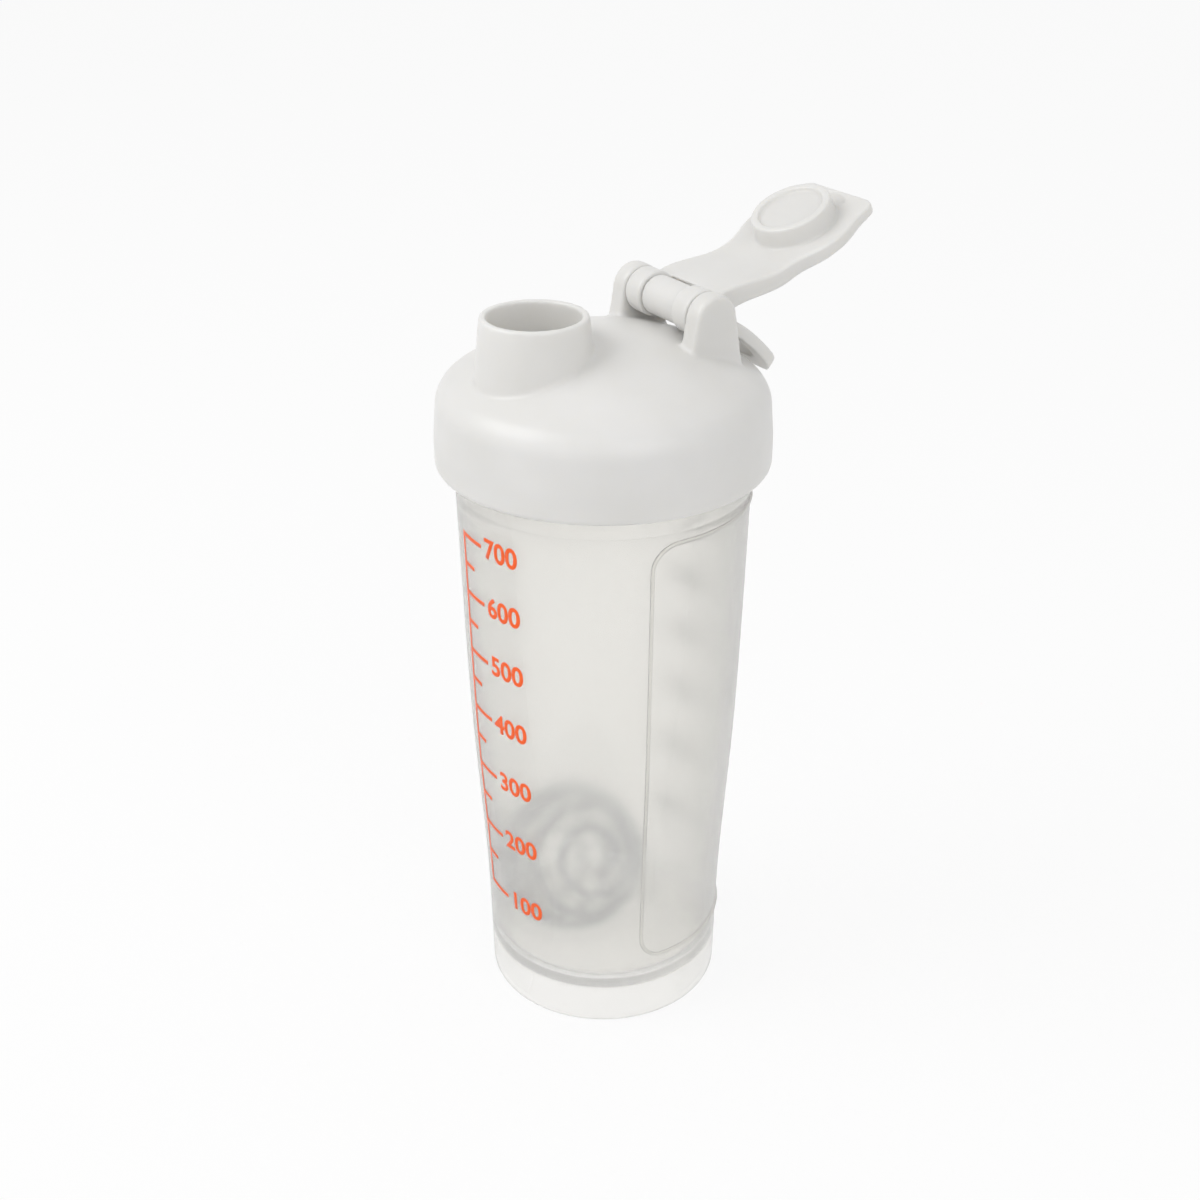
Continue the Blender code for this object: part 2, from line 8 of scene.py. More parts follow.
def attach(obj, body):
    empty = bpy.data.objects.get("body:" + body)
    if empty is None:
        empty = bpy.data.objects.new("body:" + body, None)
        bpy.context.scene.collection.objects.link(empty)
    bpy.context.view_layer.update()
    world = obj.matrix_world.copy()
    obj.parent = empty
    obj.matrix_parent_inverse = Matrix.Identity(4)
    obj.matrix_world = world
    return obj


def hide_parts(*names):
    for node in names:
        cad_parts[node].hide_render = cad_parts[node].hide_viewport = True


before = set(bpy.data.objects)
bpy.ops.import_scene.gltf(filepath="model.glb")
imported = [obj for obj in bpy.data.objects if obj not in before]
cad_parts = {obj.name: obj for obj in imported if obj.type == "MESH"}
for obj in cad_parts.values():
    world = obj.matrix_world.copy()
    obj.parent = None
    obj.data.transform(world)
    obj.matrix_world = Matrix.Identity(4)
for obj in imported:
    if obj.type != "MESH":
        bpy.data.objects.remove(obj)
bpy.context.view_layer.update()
print("frame loaded")

cupSet = {
    "height": 0.2004, "steps": 192, "wall": 0.0018, "neckWall": 0.0020,
    "footRadius": 0.0369, "waist": (0.040, 0.0378), "belly": (0.098, 0.0412), "neck": (0.1736, 0.0434),
    "collarRadius": 0.0440, "collarTop": 0.1785,
    "floorHeight": 0.0137, "floorThickness": 0.0020, "floorCorner": 0.0070, "ringWidth": 0.0022,
}
threadSet = {"pitch": 0.0050, "turns": 1.5, "start": 0.1855, "root": 0.0020, "crest": 0.0012,
             "height": 0.0020, "sink": 0.0005, "steps": 96}
lidSet = {
    "radius": 0.0490, "shoulderRadius": 0.0483, "wall": 0.0022, "bottom": 0.1800, "bottomEdge": 0.0014,
    "shoulderRound": 0.0095, "domeRadius": 0.080, "domeTop": 0.2186, "lipThickness": 0.0014,
    "lipDepth": 0.0080, "steps": 192, "grain": 0.00062,
}
spoutSet = {"top": 0.2270, "offset": 0.0226, "radius": 0.0152, "wall": 0.0021,
            "taper": math.radians(6), "boreTaper": math.radians(3), "steps": 128}
hingeSet = {
    "offset": 0.0240, "height": 0.2230, "earRadius": 0.0069, "earThickness": 0.0062,
    "earFlare": math.radians(10), "knuckleRadius": 0.0067, "knuckleInner": 0.00805,
    "knuckleOuter": 0.01485, "earInner": 0.0152, "barrelRadius": 0.0058, "barrelHalf": 0.0076,
    "barrelRoom": 0.0068, "pinRadius": 0.0020, "pinHole": 0.00235, "pinDepth": 0.0036,
}
capSet = {
    "openAngle": math.radians(155), "waistHalf": 0.0146, "headRadius": 0.0184, "tipHalf": 0.0156,
    "tipCorner": 0.0030, "tipReach": 0.0030, "tipThickness": 0.0036, "rootThickness": 0.0078,
    "rootLow": -0.0022, "plugRadius": 0.0126, "plugDepth": 0.0060, "grain": 0.00042,
}
loopSet = {
    "angle": math.radians(38), "length": 0.0365, "bend": math.radians(32), "halfWidth": 0.0140,
    "band": 0.0052, "thickness": 0.0036, "neck": 0.0118, "corner": 0.0065, "holeCorner": 0.0035,
    "grain": 0.00038,
}
ballSet = {"radius": 0.0240, "wire": 0.00125, "turns": 7, "eye": math.radians(13),
           "centre": (-0.0062, -0.0085, 0.0380), "pole": (0.83, -0.10, 0.55), "perTurn": 72}
hingePoint = Vector((0, hingeSet["offset"], hingeSet["height"]))


# colour and node helpers
def linear(code):
    parts = [int(code[i:i + 2], 16) / 255 for i in (1, 3, 5)]
    return [c / 12.92 if c <= 0.04045 else ((c + 0.055) / 1.055) ** 2.4 for c in parts] + [1]


def addNode(tree, kind, settings=None, links=None):
    node = tree.nodes.new(kind)
    for name, value in (settings or {}).items():
        if isinstance(name, str) and hasattr(node, name):
            setattr(node, name, value)
        else:
            node.inputs[name].default_value = value
    for name, source in (links or {}).items():
        tree.links.new(source, node.inputs[name])
    return node


def newMaterial(name):
    made = bpy.data.materials.new(name)
    made.use_nodes = True
    shader = made.node_tree.nodes["Principled BSDF"]
    return made, made.node_tree, shader


# milky polypropylene, injection moulded in a lightly spark-eroded tool: satin, faintly see-through at its edges
def makeMilkyPolypropylene():
    made, tree, shader = newMaterial("milkyPolypropyleneMoulded")
    place = addNode(tree, "ShaderNodeTexCoord")
    flow = addNode(tree, "ShaderNodeTexNoise", {"Scale": 28.0, "Detail": 3.0}, {"Vector": place.outputs["Object"]})
    tone = addNode(tree, "ShaderNodeValToRGB", None, {"Fac": flow.outputs["Fac"]})
    tone.color_ramp.elements[0].position, tone.color_ramp.elements[1].position = 0.35, 0.7
    tone.color_ramp.elements[0].color = linear("#DBDAD7")
    tone.color_ramp.elements[1].color = linear("#E1E0DE")
    grain = addNode(tree, "ShaderNodeTexNoise", {"Scale": 2600.0, "Detail": 2.0}, {"Vector": place.outputs["Object"]})
    bump = addNode(tree, "ShaderNodeBump", {"Strength": 0.05, "Distance": 0.0002}, {"Height": grain.outputs["Fac"]})
    rough = addNode(tree, "ShaderNodeMapRange", {"To Min": 0.30, "To Max": 0.40}, {"Value": grain.outputs["Fac"]})
    tree.links.new(tone.outputs["Color"], shader.inputs["Base Color"])
    tree.links.new(rough.outputs["Result"], shader.inputs["Roughness"])
    tree.links.new(bump.outputs["Normal"], shader.inputs["Normal"])
    shader.inputs["IOR"].default_value = 1.49
    shader.inputs["Subsurface Weight"].default_value = 0.45
    shader.inputs["Subsurface Radius"].default_value = (1.0, 0.95, 0.85)
    shader.inputs["Subsurface Scale"].default_value = 0.004
    return made


# natural polypropylene, blow-thin moulded wall: lets light through and blurs what stands behind it
def makeClearPolypropylene():
    made, tree, shader = newMaterial("clearPolypropyleneMoulded")
    place = addNode(tree, "ShaderNodeTexCoord")
    flow = addNode(tree, "ShaderNodeTexNoise", {"Scale": 18.0, "Detail": 2.0}, {"Vector": place.outputs["Object"]})
    rough = addNode(tree, "ShaderNodeMapRange", {"To Min": 0.22, "To Max": 0.28}, {"Value": flow.outputs["Fac"]})
    tone = addNode(tree, "ShaderNodeValToRGB", None, {"Fac": flow.outputs["Fac"]})
    tone.color_ramp.elements[0].color = linear("#FBFAF6")
    tone.color_ramp.elements[1].color = linear("#FEFDFB")
    grain = addNode(tree, "ShaderNodeTexNoise", {"Scale": 1800.0, "Detail": 2.0}, {"Vector": place.outputs["Object"]})
    bump = addNode(tree, "ShaderNodeBump", {"Strength": 0.04, "Distance": 0.0002}, {"Height": grain.outputs["Fac"]})
    tree.links.new(tone.outputs["Color"], shader.inputs["Base Color"])
    tree.links.new(rough.outputs["Result"], shader.inputs["Roughness"])
    tree.links.new(bump.outputs["Normal"], shader.inputs["Normal"])
    shader.inputs["IOR"].default_value = 1.35
    shader.inputs["Transmission Weight"].default_value = 0.86
    shader.inputs["Alpha"].default_value = 0.90
    return made


# drawn stainless wire: fine lengthwise die lines, soft highlights
def makeDrawnSteel():
    made, tree, shader = newMaterial("stainlessSteelDrawn")
    place = addNode(tree, "ShaderNodeTexCoord")
    lines = addNode(tree, "ShaderNodeTexNoise", {"Scale": 900.0, "Detail": 3.0}, {"Vector": place.outputs["Object"]})
    rough = addNode(tree, "ShaderNodeMapRange", {"To Min": 0.18, "To Max": 0.34}, {"Value": lines.outputs["Fac"]})
    bump = addNode(tree, "ShaderNodeBump", {"Strength": 0.06, "Distance": 0.0001}, {"Height": lines.outputs["Fac"]})
    shader.inputs["Base Color"].default_value = linear("#B9BBBE")
    shader.inputs["Metallic"].default_value = 1.0
    tree.links.new(rough.outputs["Result"], shader.inputs["Roughness"])
    tree.links.new(bump.outputs["Normal"], shader.inputs["Normal"])
    return made


# silicone, compression moulded: matte and slightly cloudy
def makeSilicone():
    made, tree, shader = newMaterial("siliconeMoulded")
    place = addNode(tree, "ShaderNodeTexCoord")
    cloud = addNode(tree, "ShaderNodeTexNoise", {"Scale": 300.0, "Detail": 3.0}, {"Vector": place.outputs["Object"]})
    rough = addNode(tree, "ShaderNodeMapRange", {"To Min": 0.52, "To Max": 0.66}, {"Value": cloud.outputs["Fac"]})
    bump = addNode(tree, "ShaderNodeBump", {"Strength": 0.08, "Distance": 0.0002}, {"Height": cloud.outputs["Fac"]})
    shader.inputs["Base Color"].default_value = linear("#DEDFE0")
    tree.links.new(rough.outputs["Result"], shader.inputs["Roughness"])
    tree.links.new(bump.outputs["Normal"], shader.inputs["Normal"])
    return made


# pad-printed ink: an opaque film a little glossier than the plastic, with pinhole-fine unevenness
def makeInk(name, code):
    made, tree, shader = newMaterial(name)
    place = addNode(tree, "ShaderNodeTexCoord")
    film = addNode(tree, "ShaderNodeTexNoise", {"Scale": 700.0, "Detail": 3.0}, {"Vector": place.outputs["Object"]})
    rough = addNode(tree, "ShaderNodeMapRange", {"To Min": 0.34, "To Max": 0.46}, {"Value": film.outputs["Fac"]})
    bump = addNode(tree, "ShaderNodeBump", {"Strength": 0.04, "Distance": 0.0001}, {"Height": film.outputs["Fac"]})
    shader.inputs["Base Color"].default_value = linear(code)
    tree.links.new(rough.outputs["Result"], shader.inputs["Roughness"])
    tree.links.new(bump.outputs["Normal"], shader.inputs["Normal"])
    return made


milkyPolypropylene = makeMilkyPolypropylene()
clearPolypropylene = makeClearPolypropylene()
drawnSteel = makeDrawnSteel()
silicone = makeSilicone()
orangeInk = makeInk("orangePadPrintInk", "#F85C08")
greyInk = makeInk("greyPadPrintInk", "#868B8E")
print("materials made")


# shape helpers
def pieceFrom(name, bm, material=None):
    bmesh.ops.remove_doubles(bm, verts=bm.verts, dist=1e-6)
    bmesh.ops.recalc_face_normals(bm, faces=bm.faces)
    mesh = bpy.data.meshes.new(name)
    bm.to_mesh(mesh)
    bm.free()
    mesh.shade_smooth()
    made = bpy.data.objects.new(name, mesh)
    bpy.context.scene.collection.objects.link(made)
    if material:
        mesh.materials.append(material)
    return made


def settle(piece):
    # the modifiers' result becomes the piece's own mesh
    bpy.context.view_layer.update()
    graph = bpy.context.evaluated_depsgraph_get()
    mesh = bpy.data.meshes.new_from_object(piece.evaluated_get(graph))
    piece.modifiers.clear()
    piece.data = mesh
    return piece


def cutOrJoin(piece, other, operation):
    step = piece.modifiers.new(other.name, "BOOLEAN")
    step.operation, step.solver, step.object = operation, "EXACT", other
    settle(piece)
    bpy.data.objects.remove(other, do_unlink=True)
    return piece


def soften(piece, grain, rounds, material):
    # an even skin, smoothed so that joins get the small fillets of a moulding
    skin = piece.modifiers.new("skin", "REMESH")
    skin.mode, skin.voxel_size, skin.use_smooth_shade = "VOXEL", grain, True
    ease = piece.modifiers.new("ease", "SMOOTH")
    ease.factor, ease.iterations = 0.5, rounds
    settle(piece)
    piece.data.materials.clear()
    piece.data.materials.append(material)
    piece.data.shade_smooth()
    return piece


def arc(cx, cy, radius, start, end, count):
    return [(cx + radius * math.cos(math.radians(start + (end - start) * i / count)),
             cy + radius * math.sin(math.radians(start + (end - start) * i / count))) for i in range(count + 1)]


def spun(profile, steps):
    bm = bmesh.new()
    verts = [bm.verts.new((r, 0, z)) for r, z in profile]
    edges = [bm.edges.new(pair) for pair in zip(verts, verts[1:])]
    if profile[0][0] > 0:
        edges.append(bm.edges.new((verts[-1], verts[0])))
    bmesh.ops.spin(bm, geom=verts + edges, cent=(0, 0, 0), axis=(0, 0, 1), angle=math.tau, steps=steps, use_merge=True)
    return bm


def bar(radius, low, high, steps=64, bevel=0.0):
    # a round bar along X
    bm = bmesh.new()
    bmesh.ops.create_cone(bm, cap_ends=True, segments=steps, radius1=radius, radius2=radius, depth=high - low)
    if bevel:
        rims = [e for e in bm.edges if abs(e.verts[0].co.z - e.verts[1].co.z) < 1e-7]
        bmesh.ops.bevel(bm, geom=rims, offset=bevel, affect="EDGES", segments=3, profile=0.5, material=-1)
    bmesh.ops.rotate(bm, verts=bm.verts, cent=(0, 0, 0), matrix=Matrix.Rotation(math.pi / 2, 3, "Y"))
    bmesh.ops.translate(bm, verts=bm.verts, vec=((low + high) / 2, 0, 0))
    return bm


def slab(outline, low, high, along, bevel=0.0):
    # a flat outline given thickness along X or Z
    bm = bmesh.new()
    if along == "X":
        verts = [bm.verts.new((low, a, b)) for a, b in outline]
        push = (high - low, 0, 0)
    else:
        verts = [bm.verts.new((a, b, low)) for a, b in outline]
        push = (0, 0, high - low)
    face = bm.faces.new(verts)
    grown = bmesh.ops.extrude_face_region(bm, geom=[face])
    bmesh.ops.translate(bm, verts=[g for g in grown["geom"] if isinstance(g, bmesh.types.BMVert)], vec=push)
    if bevel:
        rims = [e for e in bm.edges if len(e.link_faces) == 2
                and max(len(f.verts) for f in e.link_faces) > 4]
        bmesh.ops.bevel(bm, geom=rims, offset=bevel, affect="EDGES", segments=4, profile=0.5, material=-1)
    return bm


def coned(lowRadius, highRadius, low, high, y, steps):
    bm = bmesh.new()
    bmesh.ops.create_cone(bm, cap_ends=True, segments=steps, radius1=lowRadius, radius2=highRadius, depth=high - low)
    bmesh.ops.translate(bm, verts=bm.verts, vec=(0, y, (low + high) / 2))
    return bm


def throughRings(rings):
    bm = bmesh.new()
    corners = [[bm.verts.new(p) for p in ring] for ring in rings]
    loops = [[bm.edges.new((ring[i - 1], ring[i])) for i in range(len(ring))] for ring in corners]
    for first, second in zip(loops, loops[1:]):
        bmesh.ops.bridge_loops(bm, edges=first + second)
    for ring in (corners[0], corners[-1]):
        bm.faces.new(ring)
    return bm


def threadRidge(wallRadius, outwards, height, start):
    side = 1 if outwards else -1
    root, crest = wallRadius - side * threadSet["sink"], wallRadius + side * height
    count = round(threadSet["steps"] * threadSet["turns"])
    rings = []
    for i in range(count + 1):
        turn = threadSet["turns"] * i / count
        run = min(turn, threadSet["turns"] - turn) / 0.06  # the ends run out into the wall
        top = root + (crest - root) * min(1, 0.25 + 0.75 * run)
        a, middle = math.tau * turn, start + threadSet["pitch"] * turn
        section = [(root, -threadSet["root"] / 2), (top, -threadSet["crest"] / 2),
                   (top, threadSet["crest"] / 2), (root, threadSet["root"] / 2)]
        rings.append([(r * math.cos(a), r * math.sin(a), middle + dz) for r, dz in section])
    return throughRings(rings)


# cup
def cupRadius(height):
    # outside radius between the foot and the collar, a smooth line through four stations
    stations = [(0, cupSet["footRadius"]), cupSet["waist"], cupSet["belly"], cupSet["neck"]]
    if height >= stations[-1][0]:
        return stations[-1][1]
    slopes = []
    for i in range(4):
        before, after = stations[max(i - 1, 0)], stations[min(i + 1, 3)]
        slopes.append((after[1] - before[1]) / (after[0] - before[0]))
    for i in range(3):
        (z0, r0), (z1, r1) = stations[i], stations[i + 1]
        if height <= z1:
            t = (height - z0) / (z1 - z0)
            value = (2 * t**3 - 3 * t**2 + 1) * r0 + (3 * t**2 - 2 * t**3) * r1
            return value + ((t**3 - 2 * t**2 + t) * slopes[i] + (t**3 - t**2) * slopes[i + 1]) * (z1 - z0)


def makeCup():
    c = cupSet
    under = c["floorHeight"] - c["floorThickness"]
    ringInner = c["footRadius"] - c["ringWidth"]
    rise = [c["neck"][0] * i / 36 for i in range(37)]
    bore = c["neck"][1] - c["neckWall"]
    profile = [(0, under), (ringInner - 0.0020, under), (ringInner - 0.0006, under - 0.0006), (ringInner, under - 0.0020)]
    profile += [(ringInner, 0.0006), (ringInner + 0.0004, 0), (c["footRadius"] - 0.0010, 0), (c["footRadius"] - 0.0003, 0.0003)]
    profile += [(c["footRadius"], 0.0010)] + [(cupRadius(z), z) for z in rise[1:]]
    profile += [(c["collarRadius"] - 0.0002, c["neck"][0] + 0.0002), (c["collarRadius"], c["neck"][0] + 0.0007)]
    profile += [(c["collarRadius"], c["collarTop"] - 0.0004), (c["collarRadius"] - 0.0003, c["collarTop"])]
    profile += [(c["neck"][1], c["collarTop"] + 0.0006), (c["neck"][1], c["height"] - 0.0006)]
    profile += [(c["neck"][1] - 0.0006, c["height"]), (bore + 0.0006, c["height"]), (bore, c["height"] - 0.0006)]
    profile += [(bore, c["collarTop"])]
    profile += [(cupRadius(z) - c["wall"], z) for z in reversed(rise) if z > 0.021]
    low = c["waist"][1] - c["wall"] - 0.0004
    profile += arc(low - c["floorCorner"], c["floorHeight"] + c["floorCorner"], c["floorCorner"], 0, -90, 10)
    profile += [(0, c["floorHeight"])]
    cup = pieceFrom("cupWall", spun(profile, c["steps"]), clearPolypropylene)
    thread = pieceFrom("cupThread", threadRidge(c["neck"][1], True, threadSet["height"], threadSet["start"]), clearPolypropylene)
    return [cup, thread]


# one raised bead that frames the grip area round the back of the cup
panelSet = {"low": 0.0240, "high": 0.1705, "halfAngle": math.radians(105), "corner": 0.0080, "bead": 0.0006}


def makePanel(name):
    p = panelSet
    halfWidth, halfHeight, middle = p["halfAngle"] * 0.0415, (p["high"] - p["low"]) / 2, (p["high"] + p["low"]) / 2
    outline = []
    for cx, cz, first in ((1, 1, 0), (-1, 1, 90), (-1, -1, 180), (1, -1, 270)):
        outline += arc(cx * (halfWidth - p["corner"]), cz * (halfHeight - p["corner"]), p["corner"], first, first + 90, 12)
    dense = []
    for (x0, z0), (x1, z1) in zip(outline, outline[1:] + outline[:1]):
        count = max(1, round(math.hypot(x1 - x0, z1 - z0) / 0.003))
        dense += [(x0 + (x1 - x0) * i / count, z0 + (z1 - z0) * i / count) for i in range(count)]
    line = bpy.data.curves.new(name, "CURVE")
    line.dimensions, line.bevel_depth, line.bevel_resolution = "3D", p["bead"], 3
    track = line.splines.new("POLY")
    track.points.add(len(dense) - 1)
    for slot, (x, z) in zip(track.points, dense):
        height = middle + z
        radius = cupRadius(height)
        a = x / 0.0415 + math.pi / 2
        slot.co = (radius * math.cos(a), radius * math.sin(a), height, 1)
    track.use_cyclic_u = True
    bead = bpy.data.objects.new(name, line)
    bpy.context.scene.collection.objects.link(bead)
    mesh = bpy.data.meshes.new_from_object(bead.evaluated_get(bpy.context.evaluated_depsgraph_get()))
    bpy.data.objects.remove(bead, do_unlink=True)
    bm = bmesh.new()
    bm.from_mesh(mesh)
    return pieceFrom(name, bm, clearPolypropylene)


# printed scale: real levels worked out from the cup's inside
scaleSet = {"first": 100, "last": 700, "step": 50, "lift": 0.00008, "film": 0.00006, "tick": 0.0013,
            "long": 0.0110, "short": 0.0062, "number": 0.0088, "spine": 0.0012, "bold": 0.00022}


def heightOfFill(millilitres):
    filled, height, slice_ = 0.0, cupSet["floorHeight"], 0.0002
    while filled < millilitres * 1e-6:
        filled += math.pi * (cupRadius(height) - cupSet["wall"]) ** 2 * slice_
        height += slice_
    return height


def wrapOnCup(bm, front):
    # flat x, y and thickness z become an angle, a height and a radius
    for vert in bm.verts:
        radius = cupRadius(vert.co.y)
        a = vert.co.x / radius
        out = radius + scaleSet["lift"] + vert.co.z
        turn = 1 if front else -1
        vert.co = (turn * out * math.sin(a), -turn * out * math.cos(a), vert.co.y)


def flatTick(bm, x, y, width, height):
    made = bmesh.ops.create_cube(bm, size=1)
    bmesh.ops.scale(bm, verts=made["verts"], vec=(width, height, scaleSet["film"]))
    bmesh.ops.translate(bm, verts=made["verts"], vec=(x, y, scaleSet["film"] / 2))


def addNumber(bm, words, x, y, size):
    text = bpy.data.curves.new("number", "FONT")
    text.body, text.size, text.align_x, text.align_y = words, size, "LEFT", "CENTER"
    text.extrude, text.offset, text.resolution_u = scaleSet["film"] / 2, scaleSet["bold"], 6
    holder = bpy.data.objects.new("number", text)
    bpy.context.scene.collection.objects.link(holder)
    bpy.context.view_layer.update()
    mesh = bpy.data.meshes.new_from_object(holder.evaluated_get(bpy.context.evaluated_depsgraph_get()))
    bpy.data.objects.remove(holder, do_unlink=True)
    mesh.transform(Matrix.Translation((x, y, scaleSet["film"] / 2)))
    bm.from_mesh(mesh)


def makeScale(name, front, material, shift):
    s = scaleSet
    bm = bmesh.new()
    levels = range(s["first"], s["last"] + 1, s["step"])
    low, high = heightOfFill(levels[0]), heightOfFill(levels[-1])
    for amount in levels:
        height = heightOfFill(amount)
        whole = amount % 100 == 0
        width = s["long"] if whole else s["short"]
        flatTick(bm, shift + width / 2, height, width, s["tick"])
        if whole:
            addNumber(bm, str(amount), shift + 0.0126, height, s["number"])
    flatTick(bm, shift, (low + high) / 2, s["spine"], high - low + s["tick"])
    for i in range(-22, 23):
        bmesh.ops.bisect_plane(bm, geom=bm.verts[:] + bm.edges[:] + bm.faces[:], plane_co=(i * 0.001, 0, 0), plane_no=(1, 0, 0))
    for i in range(20):
        height = low + (high - low) * i / 19
        bmesh.ops.bisect_plane(bm, geom=bm.verts[:] + bm.edges[:] + bm.faces[:], plane_co=(0, height + 0.0021, 0), plane_no=(0, 1, 0))
    wrapOnCup(bm, front)
    return pieceFrom(name, bm, material)


# lid
def domeHeight(radius, inset=0.0):
    l = lidSet
    return l["domeTop"] - l["domeRadius"] + math.sqrt((l["domeRadius"] - inset) ** 2 - radius**2)


def makeLid():
    l, s, h = lidSet, spoutSet, hingeSet
    domeCentre = l["domeTop"] - l["domeRadius"]
    shoulder = l["shoulderRadius"] - l["shoulderRound"]
    shoulderHeight = domeCentre + math.sqrt((l["domeRadius"] - l["shoulderRound"]) ** 2 - shoulder**2)
    tilt = math.atan2(shoulder, shoulderHeight - domeCentre)
    outside = [(l["domeRadius"] * math.sin(tilt) * i / 24, domeHeight(l["domeRadius"] * math.sin(tilt) * i / 24)) for i in range(25)]
    outside += arc(shoulder, shoulderHeight, l["shoulderRound"], 90 - math.degrees(tilt), 0, 16)[1:]
    outside += [(l["radius"], (l["bottom"] + shoulderHeight) / 2), (l["radius"], l["bottom"] + l["bottomEdge"])]
    outside += arc(l["radius"] - l["bottomEdge"], l["bottom"] + l["bottomEdge"], l["bottomEdge"], 0, -90, 5)[1:]
    outside += [(0, l["bottom"])]
    lid = pieceFrom("lidShell", spun(outside, l["steps"]))
    root = 0.2020
    spout = coned(s["radius"] + (s["top"] - root) * math.tan(s["taper"]), s["radius"], root, s["top"], -s["offset"], s["steps"])
    cutOrJoin(lid, pieceFrom("spoutTube", spout), "UNION")
    foot = domeHeight(math.hypot(h["earInner"], h["offset"])) - 0.006
    lean = math.degrees(h["earFlare"])
    top = arc(h["offset"], h["height"], h["earRadius"], lean, 180 - lean, 40)
    spread = (top[0][1] - foot) * math.tan(h["earFlare"])
    outline = top + [(top[-1][0] - spread, foot), (top[0][0] + spread, foot)]
    for side in (1, -1):
        near, far = sorted((side * h["earInner"], side * (h["earInner"] + h["earThickness"])))
        ear = pieceFrom("ear", slab(outline, near, far, "X", 0.0009))
        cutOrJoin(lid, ear, "UNION")
    lipRadius = cupSet["neck"][1] - cupSet["neckWall"] - 0.0005
    lipInner, lipEnd = lipRadius - l["lipThickness"], cupSet["height"] - l["lipDepth"]
    seat, seatOuter = cupSet["height"] + 0.0003 + 0.0020 + 0.0003, lipRadius + 0.0004 + 0.0022 + 0.0003
    inner = l["shoulderRadius"] - l["wall"]
    room = [(0, l["bottom"] - 0.001), (inner, l["bottom"] - 0.001)]
    room += arc(shoulder, shoulderHeight - 0.0005, l["shoulderRound"] - l["wall"], 0, 40, 8)
    room += [(seatOuter, seat), (lipRadius, seat), (lipRadius, lipEnd), (lipInner, lipEnd)]
    room += [(lipInner * i / 16, domeHeight(lipInner * i / 16, l["wall"])) for i in range(16, -1, -1)]
    cutOrJoin(lid, pieceFrom("lidRoom", spun(room, l["steps"])), "DIFFERENCE")
    bore = s["radius"] - s["wall"]
    boreRoot = 0.1960
    hollow = coned(bore + (s["top"] - boreRoot) * math.tan(s["boreTaper"]), bore, boreRoot, s["top"] + 0.001, -s["offset"], s["steps"])
    cutOrJoin(lid, pieceFrom("spoutBore", hollow), "DIFFERENCE")
    for side in (1, -1):
        near, far = sorted((side * (h["earInner"] - 0.001), side * (h["earInner"] + h["pinDepth"])))
        hole = bar(h["pinHole"], near, far)
        bmesh.ops.translate(hole, verts=hole.verts, vec=hingePoint)
        cutOrJoin(lid, pieceFrom("earHole", hole), "DIFFERENCE")
    soften(lid, l["grain"], 8, milkyPolypropylene)
    ridge = threadRidge(inner, False, inner - cupSet["neck"][1] - 0.0007, threadSet["start"] - threadSet["pitch"] / 2)
    return [lid, pieceFrom("lidThread", ridge, milkyPolypropylene)]


def makeSeal():
    inner = cupSet["neck"][1] - cupSet["neckWall"] - 0.0005 + 0.0004
    low = cupSet["height"] + 0.0003
    edge = 0.0004
    profile = arc(inner + edge, low + edge, edge, 180, 270, 4) + arc(inner + 0.0022 - edge, low + edge, edge, 270, 360, 4)
    profile += arc(inner + 0.0022 - edge, low + 0.0020 - edge, edge, 0, 90, 4)
    profile += arc(inner + edge, low + 0.0020 - edge, edge, 90, 180, 4)
    return pieceFrom("sealRing", spun(profile, 192), silicone)


# hinge pieces
def makePin():
    half = hingeSet["earInner"] + hingeSet["pinDepth"] - 0.0003
    bm = bar(hingeSet["pinRadius"], -half, half, 48, 0.0003)
    bmesh.ops.translate(bm, verts=bm.verts, vec=hingePoint)
    return pieceFrom("hingePin", bm, drawnSteel)


def turnOnHinge(piece, angle):
    # drawn about the hinge axis reaching towards -Y, then turned and put on it
    piece.data.transform(Matrix.Translation(hingePoint) @ Matrix.Rotation(angle, 4, "X"))
    return piece


def capHalfWidth(reach):
    c, h = capSet, hingeSet
    plugReach = h["offset"] + spoutSet["offset"]
    length = plugReach + spoutSet["radius"] + c["tipReach"]
    root, waistAt = h["knuckleRadius"] + 0.002, 0.024
    if reach <= root:
        return h["knuckleOuter"]
    if reach <= waistAt:
        t = (reach - root) / (waistAt - root)
        return h["knuckleOuter"] + (c["waistHalf"] - h["knuckleOuter"]) * (3 * t * t - 2 * t**3)
    head = c["headRadius"] ** 2 - (reach - plugReach) ** 2
    roundHalf = math.sqrt(head) if head > 0 else 0
    if reach <= plugReach:
        blend = 0.0022  # softens the corner where the waist meets the round head
        return 0.5 * (c["waistHalf"] + roundHalf + math.sqrt((c["waistHalf"] - roundHalf) ** 2 + blend**2))
    tip, edge = c["tipHalf"], length - reach
    if edge < c["tipCorner"]:
        tip -= c["tipCorner"] - math.sqrt(max(c["tipCorner"] ** 2 - (c["tipCorner"] - edge) ** 2, 0))
    return max(tip, roundHalf) if edge < 0.004 else 0.5 * (tip + roundHalf + math.sqrt((tip - roundHalf) ** 2 + 0.002**2))


def capHeights(reach):
    c, h = capSet, hingeSet
    plugReach = h["offset"] + spoutSet["offset"]
    length = plugReach + spoutSet["radius"] + c["tipReach"]
    headHeight = spoutSet["top"] + 0.0003 - h["height"]
    root, flatFrom = h["knuckleRadius"] - 0.001, plugReach - spoutSet["radius"] - 0.001
    t = min(max((reach - root) / (flatFrom - root), 0), 1)
    under = c["rootLow"] + (headHeight - c["rootLow"]) * t * t * (3 - 2 * t)
    along = min(max((reach - root) / (length - root), 0), 1)
    return under, under + c["rootThickness"] + (c["tipThickness"] - c["rootThickness"]) * along**0.6


